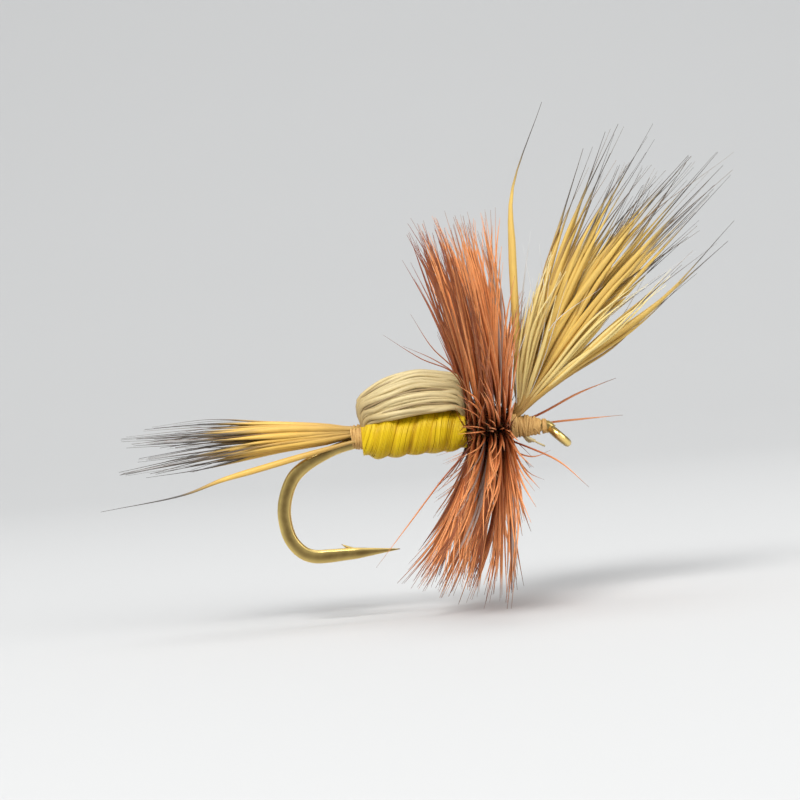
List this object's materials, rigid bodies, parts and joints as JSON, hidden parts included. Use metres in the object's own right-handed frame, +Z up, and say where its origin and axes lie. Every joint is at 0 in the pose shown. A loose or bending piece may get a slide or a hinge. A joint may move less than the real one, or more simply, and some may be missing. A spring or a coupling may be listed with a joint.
{
  "type": "dry fly",
  "caption": "Hair-hump dry fly on a barbed, turned-down-eye hook: hair tail, yellow floss body, wound collar hackle, raked hair wings and a thread head.",
  "frame": {"origin": "centre of the hook wire at the bottom of the bend, where the fly is held", "axes": "+X forward along the shank towards the eye, +Y to the fly's left side, +Z up from the point to the shank"},
  "size_m": [0.035, 0.0206, 0.0248],
  "materials": {
    "bronzed_wire": "antique gold lacquered steel wire, glossy, brighter on the forged edges",
    "tan_thread": "fine waxed tying thread in close turns",
    "tan_hair": "golden tan deer hair with dark grey tips",
    "pale_hair": "pale tan deer hair with brown lines between the hairs",
    "wing_hair": "straw-gold deer hair with thin dark grey tips",
    "yellow_floss": "bright yellow satin floss in slanting turns",
    "rust_feather": "glossy rust-brown feather barbs, darker at the quill",
    "dark_quill": "dark red-brown feather quill"
  },
  "bodies": {
    "root": {"hook": "bronzed_wire", "thread_base": "tan_thread", "tail_hair": "tan_hair", "tail_low_hair": "tan_hair", "tail_tie": "tan_thread", "underbody_hair": "tan_hair", "body_floss": "yellow_floss", "hump_hair": "pale_hair", "hump_tie": "tan_thread", "wing_butts": "tan_hair", "rear_hackle_stem": "dark_quill", "front_hackle_stem": "dark_quill", "rear_hackle_turn_1": "rust_feather", "rear_hackle_turn_2": "rust_feather", "rear_hackle_turn_3": "rust_feather", "rear_hackle_turn_4": "rust_feather", "front_hackle_turn_1": "rust_feather", "front_hackle_turn_2": "rust_feather", "front_hackle_turn_3": "rust_feather", "front_hackle_turn_4": "rust_feather", "wing_tie": "tan_thread", "left_wing": "wing_hair", "right_wing": "wing_hair", "head_wraps": "tan_thread", "whip_finish": "tan_thread", "trimmed_butts": "pale_hair"}
  },
  "joints": []
}
